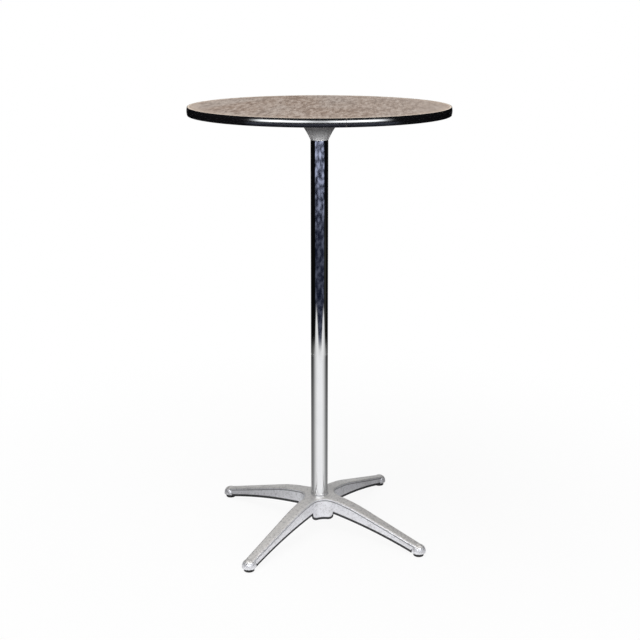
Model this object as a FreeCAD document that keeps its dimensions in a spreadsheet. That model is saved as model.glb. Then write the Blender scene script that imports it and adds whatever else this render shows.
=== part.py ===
import FreeCAD, Part
import os
import re

import Sketcher

# Stand-up pub table: a plywood disc edged with black moulding, a cast trumpet hub, one chromed
# column and a four-legged cast base on levelling glides. A threaded rod inside the column pulls
# the top hub, the column and the base together.
# Millimetres, +Z up. The origin is on the floor, on the column's axis, and +Y is the back.

SIZES = {
    # overall
    "table_height": 1067.0,         # floor to the top of the panel, 42 in
    "panel_diameter": 609.6,        # 24 in disc
    "glide_radius": 294.0,          # column axis to each glide
    # plywood panel and its moulding
    "panel_thickness": 19.05,
    "moulding_lip": 0.9,            # moulding at its top and bottom edges
    "moulding_bulge": 2.2,          # moulding at mid height
    "tongue_thickness": 1.6,
    "tongue_length": 9.5,
    "barb_height": 0.3,             # each barb above the tongue's face
    "barb_pitch": 2.6,
    "barb_gap": 0.1,                # barb to the slot's side
    "slot_end_gap": 1.5,            # tongue's end to the slot's floor
    "seam_gap": 0.6,                # between the two cut ends of the moulding
    # top hub
    "flange_diameter": 168.0,
    "flange_thickness": 5.0,
    "hub_length": 60.0,             # panel's underside to the column's top end
    "trumpet_root_radius": 58.0,    # where the trumpet meets the flange
    "trumpet_curve": 194.0,         # radius of the trumpet's concave side
    "trumpet_wall": 9.0,            # at the flange
    "hub_cavity_depth": 40.0,       # open hollow above the trumpet
    "hub_cavity_floor_radius": 18.0,
    "spigot_length": 40.0,          # plug that goes down inside the column
    "rod_roof": 8.0,                # metal between the rod's bore and the hollow
    "rod_end_room": 2.0,
    # wood screws
    "screw_count": 6.0,
    "screw_edge": 11.0,             # screw's axis to the flange's rim
    "screw_shank": 4.2,
    "screw_length": 19.0,           # under the head
    "screw_point": 4.0,
    "screw_tip_flat": 0.6,          # across the blunt end
    "screw_head": 9.4,
    "screw_head_height": 3.2,
    "screw_head_rim": 1.3,          # upright edge of the head, next to the flange
    "screw_head_flat": 5.2,         # flat middle of the head
    "screw_head_curve": 4.7,
    "screw_hole_gap": 0.4,
    "pilot_room": 1.0,              # pilot hole beyond the screw's point
    # column
    "column_diameter": 42.2,
    "column_wall": 2.0,
    "socket_depth": 12.0,           # column's bottom end below the base's top
    # tie rod and its hardware
    "rod_diameter": 9.5,
    "rod_chamfer": 1.0,
    "rod_gap": 0.75,                # round the rod where it passes through the base
    "rod_recess": 2.7,              # rod's end above the boss's underside
    "nut_flats": 14.3,
    "nut_height": 8.3,
    "jam_nut_height": 5.6,
    "lock_washer_rim": 3.6,         # width of the ring
    "lock_washer_thickness": 2.4,
    "lock_washer_slit": 1.8,
    "clamp_washer_rim": 8.5,
    "clamp_washer_thickness": 2.6,
    "washer_gap": 0.25,
    "recess_gap": 1.5,              # clamp washer to the side of its recess
    # base casting
    "hub_top": 88.0,                # floor to the flat top of the base's hub
    "hub_flat_radius": 20.0,        # the top starts to fall away outside this radius
    "crown_run": 111.0,             # run of the curve from level to the full slope
    "leg_slope": 0.287,             # fall per unit of run on the straight stretch
    "leg_root_half": 18.4,          # half width of a leg, carried in to the axis
    "leg_tip_half": 11.8,
    "leg_past_glide": 1.0,          # leg's end, inside the tip boss
    "crotch_radius": 37.0,          # upright hollow corner between two legs
    "shoulder_radius": 3.6,         # rounded top edges of the legs
    "under_root": 51.0,             # floor to the legs' lower edge near the hub
    "under_tip": 6.0,               # the same where a leg ends next to its glide
    "under_curve": 1250.0,          # radius of the legs' lower edge
    "foot_gap": 1.5,                # from there to the glide's pad
    "leg_wall": 4.0,
    "leg_web": 5.0,
    "boss_wall": 4.7,               # round the column's socket
    "boss_bottom": 25.0,            # floor to the underside of the round boss
    "boss_rounding": 7.0,
    "skirt_half": 25.5,             # half width of the wall that runs on down between two legs
    "skirt_bottom": 31.0,           # floor to that wall's lower edge
    "skirt_rounding": 13.0,         # its two lower corners
    "tip_boss_wall": 10.5,          # round the threaded bush
    "tip_boss_roof": 5.0,           # above the stud's room
    "tip_boss_rounding": 16.0,
    # levelling glides
    "pad_diameter": 25.4,
    "pad_floor": 2.0,               # solid sole under the swivel's flange
    "pad_lip": 1.7,                 # over the swivel's flange
    "pad_rounding": 1.3,
    "collar_flats": 12.7,
    "collar_height": 1.6,
    "collar_gap": 0.2,              # collar above the pad
    "glide_lift": 1.0,              # collar below the tip boss: how far a glide can go up
    "stud_diameter": 8.0,
    "stud_reach": 13.0,             # threaded length above the collar
    "stud_chamfer": 1.0,
    "stud_end_room": 1.0,           # above the stud's end when the glide is all the way up
    "neck_diameter": 6.0,
    "swivel_flange_diameter": 11.0,
    "swivel_flange_height": 1.8,
    "swivel_gap": 0.3,              # flange to the side of its hollow in the pad
    "swivel_play": 0.15,            # the same above and below the flange
    "bush_wall": 2.9,
    "bush_length": 12.5,
    # fits
    "sliding_gap": 0.2,             # spigot in column, column in socket
    "thread_gap": 0.06,             # mating threads and turning necks, drawn as plain round faces
}

# Sizes that follow from the ones above.
WORKED_OUT = {
    "panel_under": "table_height - panel_thickness",
    "panel_radius": "panel_diameter / 2",
    "slot_middle": "table_height - panel_thickness / 2",
    "slot_half": "tongue_thickness / 2 + barb_height + barb_gap",
    "slot_floor": "panel_radius - tongue_length - slot_end_gap",
    "flange_radius": "flange_diameter / 2",
    "flange_under": "panel_under - flange_thickness",
    "cavity_floor": "panel_under - hub_cavity_depth",
    "cavity_mouth_radius": "trumpet_root_radius - trumpet_wall",
    "screw_place": "flange_radius - screw_edge",
    "screw_radius": "screw_shank / 2",
    "screw_end": "flange_under + screw_length",
    "column_radius": "column_diameter / 2",
    "column_top": "panel_under - hub_length",
    "column_bottom": "hub_top - socket_depth",
    "socket_radius": "column_radius + sliding_gap",
    "bore_radius": "column_radius - column_wall",
    "spigot_radius": "bore_radius - sliding_gap",
    "spigot_bottom": "column_top - spigot_length",
    "rod_radius": "rod_diameter / 2",
    "rod_bore_top": "cavity_floor - rod_roof",
    "rod_top": "rod_bore_top - rod_end_room",
    "rod_bottom": "boss_bottom + rod_recess",
    "nut_bottom": "rod_bottom + 2 * rod_chamfer",
    "lock_bottom": "nut_bottom + nut_height",
    "washer_bottom": "lock_bottom + lock_washer_thickness",
    "recess_top": "washer_bottom + clamp_washer_thickness",
    "washer_hole_radius": "rod_radius + washer_gap",
    "clamp_washer_radius": "washer_hole_radius + clamp_washer_rim",
    "recess_radius": "clamp_washer_radius + recess_gap",
    "crown_end": "hub_flat_radius + crown_run",
    "crown_curve": "crown_run * sqrt(1 + leg_slope * leg_slope) / leg_slope",
    "crown_drop": "crown_curve * (1 - 1 / sqrt(1 + leg_slope * leg_slope))",
    "leg_end": "glide_radius + leg_past_glide",
    "leg_foot": "glide_radius - pad_radius - foot_gap",
    "leg_taper": "(leg_root_half - leg_tip_half) / leg_end",
    "core_reach": "glide_radius - tip_boss_radius + leg_wall",
    "core_root_half": "leg_root_half - leg_wall * sqrt(1 + leg_taper ^ 2)",
    "crotch_centre": ("sqrt(2) * (leg_root_half + crotch_radius * sqrt(1 + leg_taper ^ 2))"
                      " / (1 + leg_taper)"),
    "skirt_reach": "crotch_centre - sqrt(crotch_radius ^ 2 - skirt_half ^ 2)",
    "skirt_inner_curve": "crotch_radius + leg_wall",
    "skirt_inner_reach": "crotch_centre - sqrt(skirt_inner_curve ^ 2 - skirt_half ^ 2)",
    "boss_radius": "socket_radius + boss_wall",
    "stud_radius": "stud_diameter / 2",
    "bush_radius": "stud_radius + thread_gap + bush_wall",
    "tip_boss_radius": "bush_radius + tip_boss_wall",
    "pad_radius": "pad_diameter / 2",
    "swivel_bottom": "pad_floor + swivel_play",
    "swivel_top": "swivel_bottom + swivel_flange_height",
    "pad_ceiling": "swivel_top + swivel_play",
    "pad_top": "pad_ceiling + pad_lip",
    "collar_bottom": "pad_top + collar_gap",
    "collar_top": "collar_bottom + collar_height",
    "tip_boss_bottom": "collar_top + glide_lift",
    "stud_top": "collar_top + stud_reach",
    "stud_room": "stud_top + glide_lift + stud_end_room",
    "tip_boss_top": "stud_room + tip_boss_roof",
}

MARGIN = 20.0                       # how far cutting tools run past what they cut
CORNERS = {                         # the table's four corners, as signs along X and Y
    "front_left": (-1, -1),
    "front_right": (1, -1),
    "back_left": (-1, 1),
    "back_right": (1, 1),
}

doc = FreeCAD.newDocument("pub_table")
sheet = doc.addObject("Spreadsheet::Sheet", "Sizes")
for row, (alias, number) in enumerate(SIZES.items(), start=1):
    sheet.set(f"A{row}", alias)
    sheet.set(f"B{row}", str(number))
    sheet.setAlias(f"B{row}", alias)
doc.recompute()


def formula(text):
    """Write a size out in full, from the names of cells and worked-out sizes."""
    def expand(match):
        word = match.group(0)
        if word in WORKED_OUT:
            return "(" + formula(WORKED_OUT[word]) + ")"
        return "Sizes." + word if word in SIZES else word
    return re.sub(r"[a-z][a-z_]*", expand, text)


def value(text):
    return float(sheet.evalExpression(formula(text)))


def bind(item, name, text):
    item.setExpression(name, formula(text))


# Sketches and the features made from them

def new_body(label):
    body = doc.addObject("PartDesign::Body", label)
    body.Label = label
    return body


def origin_feature(body, role):
    return next(item for item in body.Origin.OriginFeatures if item.Role == role)


def new_sketch(body, name, plane, height=None):
    sketch = body.newObject("Sketcher::SketchObject", name)
    sketch.AttachmentSupport = (origin_feature(body, plane), [""])
    sketch.MapMode = "FlatFace"
    if height:
        bind(sketch, "AttachmentOffset.Base.z", height)
    return sketch


def pin_point(sketch, edge, end, place):
    """Fix one end of an edge at a place given as two size formulas."""
    for kind, axis, text in (("DistanceX", -2, place[0]), ("DistanceY", -1, place[1])):
        if text == "0":
            sketch.addConstraint(Sketcher.Constraint("PointOnObject", edge, end, axis))
            continue
        index = sketch.addConstraint(Sketcher.Constraint(kind, -1, 1, edge, end, value(text)))
        bind(sketch, f"Constraints[{index}]", text)


def arc_between(start, end, radius):
    """Arc of the given radius from start to end; a positive radius bulges to the right."""
    chord = end - start
    side = FreeCAD.Vector(chord.y, -chord.x, 0).normalize()
    rise = abs(radius) - (radius * radius - chord.Length ** 2 / 4) ** 0.5
    middle = (start + end) / 2 + side * (rise if radius > 0 else -rise)
    return Part.Arc(start, middle, end)


def draw_outline(sketch, places, arcs=None):
    """Closed outline through the places. arcs gives the radius of the edge after each numbered
    place, with a minus sign where the edge bulges to the left of its direction."""
    arcs = arcs or {}
    points = [FreeCAD.Vector(value(x), value(y), 0) for x, y in places]
    for index, start in enumerate(points):
        end = points[(index + 1) % len(points)]
        if index in arcs:
            sign = -1 if arcs[index].startswith("-") else 1
            sketch.addGeometry(arc_between(start, end, sign * value(arcs[index].lstrip("-"))))
        else:
            sketch.addGeometry(Part.LineSegment(start, end))
    # an arc whose direction was turned round by the sketcher starts at its far end
    starts = [1 if (sketch.getPoint(index, 1) - point).Length < 1e-6 else 2
              for index, point in enumerate(points)]
    for index, place in enumerate(places):
        before = (index - 1) % len(places)
        sketch.addConstraint(
            Sketcher.Constraint("Coincident", before, 3 - starts[before], index, starts[index]))
        pin_point(sketch, index, starts[index], place)
    for index, text in arcs.items():
        radius_text = text.lstrip("-")
        number = sketch.addConstraint(Sketcher.Constraint("Radius", index, value(radius_text)))
        bind(sketch, f"Constraints[{number}]", radius_text)


def draw_circle(sketch, radius):
    index = sketch.addGeometry(
        Part.Circle(FreeCAD.Vector(0, 0, 0), FreeCAD.Vector(0, 0, 1), value(radius)))
    sketch.addConstraint(Sketcher.Constraint("Coincident", index, 3, -1, 1))
    number = sketch.addConstraint(Sketcher.Constraint("Radius", index, value(radius)))
    bind(sketch, f"Constraints[{number}]", radius)


def draw_hexagon(sketch, flats):
    """Hexagon with two level sides, from its width across the flats."""
    half, corner = f"{flats} / 2", f"{flats} / sqrt(3)"
    draw_outline(sketch, [
        (corner, "0"), (f"{corner} / 2", half), (f"-{corner} / 2", half),
        (f"-{corner}", "0"), (f"-{corner} / 2", f"-{half}"), (f"{corner} / 2", f"-{half}")])


def turned(body, places, arcs=None, cut=False, name="Turned"):
    """Profile of radius and height, turned round the body's upright axis."""
    sketch = new_sketch(body, name + "Profile", "XZ_Plane")
    draw_outline(sketch, places, arcs)
    feature = body.newObject("PartDesign::Groove" if cut else "PartDesign::Revolution", name)
    feature.Profile = sketch
    feature.ReferenceAxis = (sketch, ["V_Axis"])
    feature.Angle = 360
    return feature


def padded(body, sketch, length, name="Pad"):
    feature = body.newObject("PartDesign::Pad", name)
    feature.Profile = sketch
    bind(feature, "Length", length)
    return feature


def pocketed(body, sketch, length, upward, name="Pocket"):
    feature = body.newObject("PartDesign::Pocket", name)
    feature.Profile = sketch
    feature.Reversed = upward
    bind(feature, "Length", length)
    return feature


def repeated(body, features, count, name="Repeat"):
    """Copies of the features round the body's upright axis."""
    feature = body.newObject("PartDesign::PolarPattern", name)
    feature.Originals = features
    feature.Axis = (origin_feature(body, "Z_Axis"), [""])
    feature.Angle = 360
    bind(feature, "Occurrences", count)
    body.Tip = feature
    return feature


def filleted(body, base, edges, radius, name="Fillet"):
    feature = body.newObject("PartDesign::Fillet", name)
    feature.Base = (base, edges)
    bind(feature, "Radius", radius)
    return feature


def check_cut(feature, before, label):
    """A cut that points away from its solid removes nothing and shows no error."""
    doc.recompute()
    if feature.Shape.Volume >= before - 1e-3:
        raise RuntimeError(f"{label}: {feature.Name} cuts nothing")


def joined(label, shapes):
    result = doc.addObject("Part::MultiFuse", label)
    result.Label = label
    result.Shapes = shapes
    return result


def cut_away(label, base, tool):
    result = doc.addObject("Part::Cut", label)
    result.Label = label
    result.Base = base
    result.Tool = tool
    return result


def at_corner(item, signs):
    bind(item, "Placement.Base.x", f"{signs[0]} * glide_radius * sqrt(0.5)")
    bind(item, "Placement.Base.y", f"{signs[1]} * glide_radius * sqrt(0.5)")
    return item


# Table top

def make_top_panel():
    """Plywood disc with a slot round its edge and six pilot holes in its underside."""
    body = new_body("top_panel")
    slot_low, slot_high = "slot_middle - slot_half", "slot_middle + slot_half"
    disc = turned(body, [
        ("0", "panel_under"), ("panel_radius", "panel_under"), ("panel_radius", slot_low),
        ("slot_floor", slot_low), ("slot_floor", slot_high), ("panel_radius", slot_high),
        ("panel_radius", "table_height"), ("0", "table_height")], name="Disc")
    doc.recompute()
    volume = disc.Shape.Volume
    sketch = new_sketch(body, "PilotSketch", "XY_Plane", "panel_under")
    draw_circle(sketch, "screw_radius + thread_gap")
    bind(sketch, "AttachmentOffset.Base.x", "screw_place")
    pilot = pocketed(body, sketch, "screw_end - panel_under + pilot_room", upward=True, name="Pilot")
    check_cut(pilot, volume, body.Label)
    repeated(body, [pilot], "screw_count")
    return body


def make_edge_moulding():
    """Vinyl strip with a rounded face and a barbed tongue, bent round the panel. Its two cut
    ends meet at the front."""
    body = new_body("edge_moulding")
    inner, lip = "panel_radius", "panel_radius + moulding_lip"
    face_curve = ("((panel_thickness / 2) ^ 2 + (moulding_bulge - moulding_lip) ^ 2)"
                  " / (2 * (moulding_bulge - moulding_lip))")
    top_face, low_face = "slot_middle + tongue_thickness / 2", "slot_middle - tongue_thickness / 2"
    places = [(inner, "panel_under"), (lip, "panel_under"), (lip, "table_height"),
              (inner, "table_height"), (inner, top_face)]
    barbs = [f"panel_radius - tongue_length + {step} * barb_pitch" for step in (2, 1, 0)]
    for root in barbs:
        places += [(f"{root} + barb_pitch / 2", top_face), (root, f"{top_face} + barb_height")]
    places += [(barbs[-1], f"{low_face} - barb_height")]
    for root in reversed(barbs):
        places += [(f"{root} + barb_pitch / 2", low_face)]
        if root != barbs[0]:
            places += [(f"{root} + barb_pitch", f"{low_face} - barb_height")]
    places += [(inner, low_face)]
    strip = turned(body, places, arcs={1: face_curve}, name="Strip")
    strip.Midplane = True
    bind(strip, "Angle", "360 - 360 * seam_gap / (pi * panel_diameter)")
    body.Placement.Rotation = FreeCAD.Rotation(FreeCAD.Vector(0, 0, 1), 90)
    return body


# Top hub and its screws

def make_top_hub():
    """Cast flange and trumpet, hollow above, with a plug that enters the column."""
    body = new_body("top_hub")
    turned(body, [
        ("0", "spigot_bottom"), ("spigot_radius", "spigot_bottom"), ("spigot_radius", "column_top"),
        ("column_radius", "column_top"), ("trumpet_root_radius", "flange_under"),
        ("flange_radius", "flange_under"), ("flange_radius", "panel_under"),
        ("cavity_mouth_radius", "panel_under"), ("hub_cavity_floor_radius", "cavity_floor"),
        ("0", "cavity_floor")], arcs={3: "-trumpet_curve"}, name="Casting")
    doc.recompute()
    volume = body.Shape.Volume
    sketch = new_sketch(body, "ThreadSketch", "XY_Plane", "spigot_bottom")
    draw_circle(sketch, "rod_radius + thread_gap")
    thread = pocketed(body, sketch, "rod_bore_top - spigot_bottom", upward=True, name="Thread")
    check_cut(thread, volume, body.Label)
    volume = thread.Shape.Volume
    sketch = new_sketch(body, "ScrewHoleSketch", "XY_Plane", "flange_under")
    draw_circle(sketch, "screw_radius + screw_hole_gap")
    bind(sketch, "AttachmentOffset.Base.x", "screw_place")
    hole = pocketed(body, sketch, "flange_thickness", upward=True, name="ScrewHole")
    check_cut(hole, volume, body.Label)
    repeated(body, [hole], "screw_count")
    return body


def make_hub_screws():
    """Six pan-head wood screws, driven up through the flange into the panel."""
    body = new_body("hub_screws")
    head, tip = "screw_head / 2", "screw_tip_flat / 2"
    sketch = new_sketch(body, "ScrewProfile", "XZ_Plane")
    draw_outline(sketch, [
        ("0", "flange_under - screw_head_height"),
        ("screw_head_flat / 2", "flange_under - screw_head_height"),
        (head, "flange_under - screw_head_rim"), (head, "flange_under"),
        ("screw_radius", "flange_under"), ("screw_radius", "screw_end - screw_point"),
        (tip, "screw_end"), ("0", "screw_end")], arcs={1: "screw_head_curve"})
    bind(sketch, "AttachmentOffset.Base.x", "screw_place")
    screw = body.newObject("PartDesign::Revolution", "Screw")
    screw.Profile = sketch
    screw.ReferenceAxis = (sketch, ["V_Axis"])
    screw.Angle = 360
    repeated(body, [screw], "screw_count")
    return body


# Column, tie rod and clamping hardware

def make_ring(label, radius, hole, bottom, thickness):
    body = new_body(label)
    sketch = new_sketch(body, "RingSketch", "XY_Plane", bottom)
    draw_circle(sketch, radius)
    draw_circle(sketch, hole)
    padded(body, sketch, thickness, name="Ring")
    return body


def make_lock_washer():
    """Spring washer: a ring with one narrow slit."""
    radius = "washer_hole_radius + lock_washer_rim"
    body = make_ring("lock_washer", radius, "washer_hole_radius", "lock_bottom",
                     "lock_washer_thickness")
    doc.recompute()
    volume = body.Shape.Volume
    sketch = new_sketch(body, "SlitSketch", "XY_Plane", "lock_bottom")
    half, reach = "lock_washer_slit / 2", f"{radius} + {MARGIN}"
    draw_outline(sketch, [("0", f"-{half}"), (reach, f"-{half}"), (reach, half), ("0", half)])
    slit = pocketed(body, sketch, "lock_washer_thickness", upward=True, name="Slit")
    check_cut(slit, volume, body.Label)
    return body


def make_nut(label, bottom, height):
    """Hex nut on the tie rod, with its corners chamfered at both ends."""
    body = new_body(label)
    sketch = new_sketch(body, "HexSketch", "XY_Plane", bottom)
    draw_hexagon(sketch, "nut_flats")
    draw_circle(sketch, "rod_radius + thread_gap")
    padded(body, sketch, height, name="Hexagon")
    flats, outside = "nut_flats / 2", "nut_flats / sqrt(3)"
    drop = f"({outside} - {flats}) / sqrt(3)"
    for name, end, inward in (("LowChamfer", bottom, "+"), ("TopChamfer", f"{bottom} + {height}", "-")):
        turned(body, [(flats, end), (outside, end), (outside, f"{end} {inward} {drop}")],
               cut=True, name=name)
    return body


def make_tie_rod():
    body = new_body("tie_rod")
    point = "rod_radius - rod_chamfer"
    turned(body, [
        ("0", "rod_bottom"), (point, "rod_bottom"), ("rod_radius", "rod_bottom + rod_chamfer"),
        ("rod_radius", "rod_top - rod_chamfer"), (point, "rod_top"), ("0", "rod_top")], name="Rod")
    return body


# Base casting

def leg_cross(label, root_half, tip_half, reach, crotch, top_drop, web_top):
    """Four tapered legs round the axis, cut down from above to the legs' crowned line."""
    body = new_body(label)
    sketch = new_sketch(body, "LegPlan", "XY_Plane")
    draw_outline(sketch, [("0", f"-({root_half})"), (reach, f"-({tip_half})"),
                          (reach, tip_half), ("0", root_half)])
    leg = padded(body, sketch, web_top, name="Leg")
    legs = repeated(body, [leg], "4", name="FourLegs")
    doc.recompute()
    volume = round_crotches(body, legs, crotch).Shape.Volume
    past = f"leg_end + {MARGIN}"
    slope_end = (f"hub_top - crown_drop - leg_slope * ({past} - crown_end) - {top_drop}")
    crown = turned(body, [
        ("0", f"hub_top - {top_drop}"), ("hub_flat_radius", f"hub_top - {top_drop}"),
        ("crown_end", f"hub_top - crown_drop - {top_drop}"), (past, slope_end),
        (past, f"hub_top + {MARGIN}"), ("0", f"hub_top + {MARGIN}")],
        arcs={1: "-crown_curve"}, cut=True, name="Crown")
    check_cut(crown, volume, label)
    return body


def round_crotches(body, cross, radius):
    """Round the four upright corners between neighbouring legs."""
    reach = value("leg_root_half") * 2
    edges = []
    for number, edge in enumerate(cross.Shape.Edges, start=1):
        low, high = edge.Vertexes[0].Point, edge.Vertexes[-1].Point
        upright = (FreeCAD.Vector(low.x, low.y, 0) - FreeCAD.Vector(high.x, high.y, 0)).Length < 1e-6
        if upright and (low.x ** 2 + low.y ** 2) ** 0.5 < reach:
            edges.append(f"Edge{number}")
    rounded = filleted(body, cross, edges, radius, name="Crotches")
    doc.recompute()
    return rounded


def make_leg_star():
    """Solid legs with their rounded shoulders and their arched lower edge."""
    body = leg_cross("leg_star", "leg_root_half", "leg_tip_half", "leg_end", "crotch_radius",
                     "0", "hub_top")
    crown = body.Tip
    shoulders = filleted(body, crown, rim_edges(crown, lowest=1), "shoulder_radius", "Shoulders")
    doc.recompute()
    past = f"leg_end + {MARGIN}"
    under = turned(body, [
        ("0", f"-{MARGIN}"), (past, f"-{MARGIN}"), (past, "tip_boss_bottom"),
        ("leg_foot", "tip_boss_bottom"), ("leg_foot", "under_tip"),
        ("boss_radius", "under_root"), ("0", "under_root")],
        arcs={4: "under_curve"}, cut=True, name="Underside")
    check_cut(under, shoulders.Shape.Volume, body.Label)
    return body


def rim_edges(feature, lowest):
    """Names of the edges that run along the legs above a height, but not across their ends."""
    names = []
    for number, edge in enumerate(feature.Shape.Edges, start=1):
        ends = [vertex.Point for vertex in edge.Vertexes]
        if len(ends) < 2 or min(point.z for point in ends) < lowest:
            continue
        run = (FreeCAD.Vector(ends[0].x, ends[0].y, 0) - FreeCAD.Vector(ends[1].x, ends[1].y, 0)).Length
        at_end = min(max(abs(point.x), abs(point.y)) for point in ends) > value("leg_end") - 1e-3
        if run > 1e-3 and not at_end and is_outside(feature, edge):
            names.append(f"Edge{number}")
    return names


def is_outside(feature, edge):
    """True where the edge borders one of the upright sides of the legs."""
    faces = feature.Shape.ancestorsOfType(edge, Part.Face)
    middle = edge.valueAt((edge.FirstParameter + edge.LastParameter) / 2)
    return any(abs(face.normalAt(*face.Surface.parameter(middle)).z) < 1e-3 for face in faces)


def make_tip_boss(name, signs):
    body = new_body("tip_boss_" + name)
    turned(body, [
        ("0", "tip_boss_bottom"), ("tip_boss_radius", "tip_boss_bottom"),
        ("tip_boss_radius", "tip_boss_top - tip_boss_rounding"),
        ("tip_boss_radius - tip_boss_rounding", "tip_boss_top"), ("0", "tip_boss_top")],
        arcs={2: "tip_boss_rounding"}, name="Boss")
    return at_corner(body, signs)


def make_tip_bore(name, signs):
    """Hole for the threaded bush, with room above it for the stud's end."""
    body = new_body("tip_bore_" + name)
    below, bush_top = f"tip_boss_bottom - {MARGIN}", "tip_boss_bottom + bush_length"
    room_radius = "stud_radius + sliding_gap"
    turned(body, [
        ("0", below), ("bush_radius", below), ("bush_radius", bush_top),
        (room_radius, bush_top), (room_radius, "stud_room"), ("0", "stud_room")], name="Bore")
    return at_corner(body, signs)


def make_hub_boss():
    body = new_body("hub_boss")
    turned(body, [
        ("0", "boss_bottom"), ("boss_radius - boss_rounding", "boss_bottom"),
        ("boss_radius", "boss_bottom + boss_rounding"), ("boss_radius", "hub_top - leg_web"),
        ("0", "hub_top - leg_web")], arcs={1: "boss_rounding"}, name="Boss")
    return body


def make_hub_skirts():
    """Between each two legs the upright wall runs on down, in front of the boss."""
    body = new_body("hub_skirts")
    sketch = new_sketch(body, "SkirtPlan", "XY_Plane", "skirt_bottom")
    draw_outline(sketch, [("skirt_inner_reach", "-skirt_half"), ("skirt_reach", "-skirt_half"),
                          ("skirt_reach", "skirt_half"), ("skirt_inner_reach", "skirt_half")],
                 arcs={1: "-crotch_radius", 3: "skirt_inner_curve"})
    features = [padded(body, sketch, "hub_top - 2 * leg_web - skirt_bottom", name="Skirt")]
    flat, past = "(skirt_half - skirt_rounding)", "(skirt_half + leg_wall)"
    low, high = f"skirt_bottom - {MARGIN}", "skirt_bottom + skirt_rounding"
    for name, side, curve in (("Right", "", "-skirt_rounding"), ("Left", "-", "skirt_rounding")):
        doc.recompute()
        volume = features[-1].Shape.Volume
        sketch = new_sketch(body, name + "CornerSketch", "YZ_Plane")
        draw_outline(sketch, [(side + flat, low), (side + past, low), (side + past, high),
                              (side + "skirt_half", high), (side + flat, "skirt_bottom")],
                     arcs={3: curve})
        corner = pocketed(body, sketch, "crotch_centre", upward=True, name=name + "Corner")
        check_cut(corner, volume, body.Label)
        features.append(corner)
    repeated(body, features, "4", name="FourSkirts")
    return body


def make_hub_bore():
    """Column socket above, clearance hole for the rod, and the nut's recess below."""
    body = new_body("hub_bore")
    rod_room, below, above = "rod_radius + rod_gap", f"boss_bottom - {MARGIN}", f"hub_top + {MARGIN}"
    turned(body, [
        ("0", below), ("recess_radius", below), ("recess_radius", "recess_top"),
        (rod_room, "recess_top"), (rod_room, "column_bottom"), ("socket_radius", "column_bottom"),
        ("socket_radius", above), ("0", above)], name="Bores")
    return body


def make_base_casting():
    """One casting: four legs, hollow underneath, a round hub boss and a domed boss at each tip."""
    star = make_leg_star()
    core = leg_cross("leg_core", "core_root_half", "core_root_half - leg_taper * core_reach",
                     "core_reach", "crotch_radius + leg_wall", "leg_web", "hub_top")
    turn = FreeCAD.Rotation(FreeCAD.Vector(0, 0, 1), 45)
    for body in (star, core):
        body.Placement.Rotation = turn
    shell = cut_away("leg_shell", star, core)
    bosses = [make_tip_boss(name, signs) for name, signs in CORNERS.items()]
    rough = joined("rough_casting", [shell, make_hub_boss(), make_hub_skirts()] + bosses)
    bores = [make_tip_bore(name, signs) for name, signs in CORNERS.items()]
    drill = joined("drilling", [make_hub_bore()] + bores)
    return cut_away("base_casting", rough, drill)


# Levelling glides

def make_glide_insert(name, signs):
    body = new_body("glide_insert_" + name)
    sketch = new_sketch(body, "BushSketch", "XY_Plane", "tip_boss_bottom")
    draw_circle(sketch, "bush_radius")
    draw_circle(sketch, "stud_radius + thread_gap")
    padded(body, sketch, "bush_length", name="Bush")
    return at_corner(body, signs)


def make_glide_pad(name, signs):
    """Nylon foot that the stud's flange snaps into and turns in."""
    body = new_body("glide_pad_" + name)
    cavity = "swivel_flange_diameter / 2 + swivel_gap"
    neck = "neck_diameter / 2 + thread_gap"
    turned(body, [
        ("0", "0"), ("pad_radius", "0"), ("pad_radius", "pad_top - pad_rounding"),
        ("pad_radius - pad_rounding", "pad_top"), (neck, "pad_top"), (neck, "pad_ceiling"),
        (cavity, "pad_ceiling"), (cavity, "pad_floor"), ("0", "pad_floor")],
        arcs={2: "pad_rounding"}, name="Pad")
    return at_corner(body, signs)


def make_glide_stud(name, signs):
    """Threaded stud: swivel flange and neck inside the pad, hex collar, threaded end."""
    body = new_body("glide_stud_" + name)
    flange, neck = "swivel_flange_diameter / 2", "neck_diameter / 2"
    turned(body, [
        ("0", "swivel_bottom"), (flange, "swivel_bottom"), (flange, "swivel_top"),
        (neck, "swivel_top"), (neck, "collar_bottom"), ("stud_radius", "collar_bottom"),
        ("stud_radius", "stud_top - stud_chamfer"), ("stud_radius - stud_chamfer", "stud_top"),
        ("0", "stud_top")], name="Stud")
    sketch = new_sketch(body, "CollarSketch", "XY_Plane", "collar_bottom")
    draw_hexagon(sketch, "collar_flats")
    padded(body, sketch, "collar_height", name="Collar")
    return at_corner(body, signs)


def build():
    pieces = [
        make_top_panel(), make_edge_moulding(), make_top_hub(), make_hub_screws(),
        make_ring("column_tube", "column_radius", "bore_radius", "column_bottom",
                  "column_top - column_bottom"),
        make_tie_rod(), make_nut("rod_jam_nut", "spigot_bottom - jam_nut_height", "jam_nut_height"),
        make_ring("clamp_washer", "clamp_washer_radius", "washer_hole_radius",
                  "washer_bottom", "clamp_washer_thickness"),
        make_lock_washer(), make_nut("clamp_nut", "nut_bottom", "nut_height"),
        make_base_casting()]
    for name, signs in CORNERS.items():
        pieces += [make_glide_insert(name, signs), make_glide_stud(name, signs),
                   make_glide_pad(name, signs)]
    return pieces


def export(pieces):
    doc.recompute()
    for item in doc.Objects:
        if {"Invalid", "Error"} & set(item.State):
            raise RuntimeError(f"{item.Label} failed: {item.State}")
    for piece in pieces:
        if piece.Shape.isNull() or not piece.Shape.isValid():
            raise RuntimeError(f"{piece.Label} has no valid shape")
    os.makedirs("parts", exist_ok=True)
    for piece in pieces:
        piece.Shape.exportStep(f"parts/{piece.Label}.step")
        print(f"{piece.Label}: {len(piece.Shape.Solids)} solids, {piece.Shape.Volume:.0f} mm3")


export(build())
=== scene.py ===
import math

import bmesh
import bpy
from mathutils import Matrix, Vector


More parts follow.
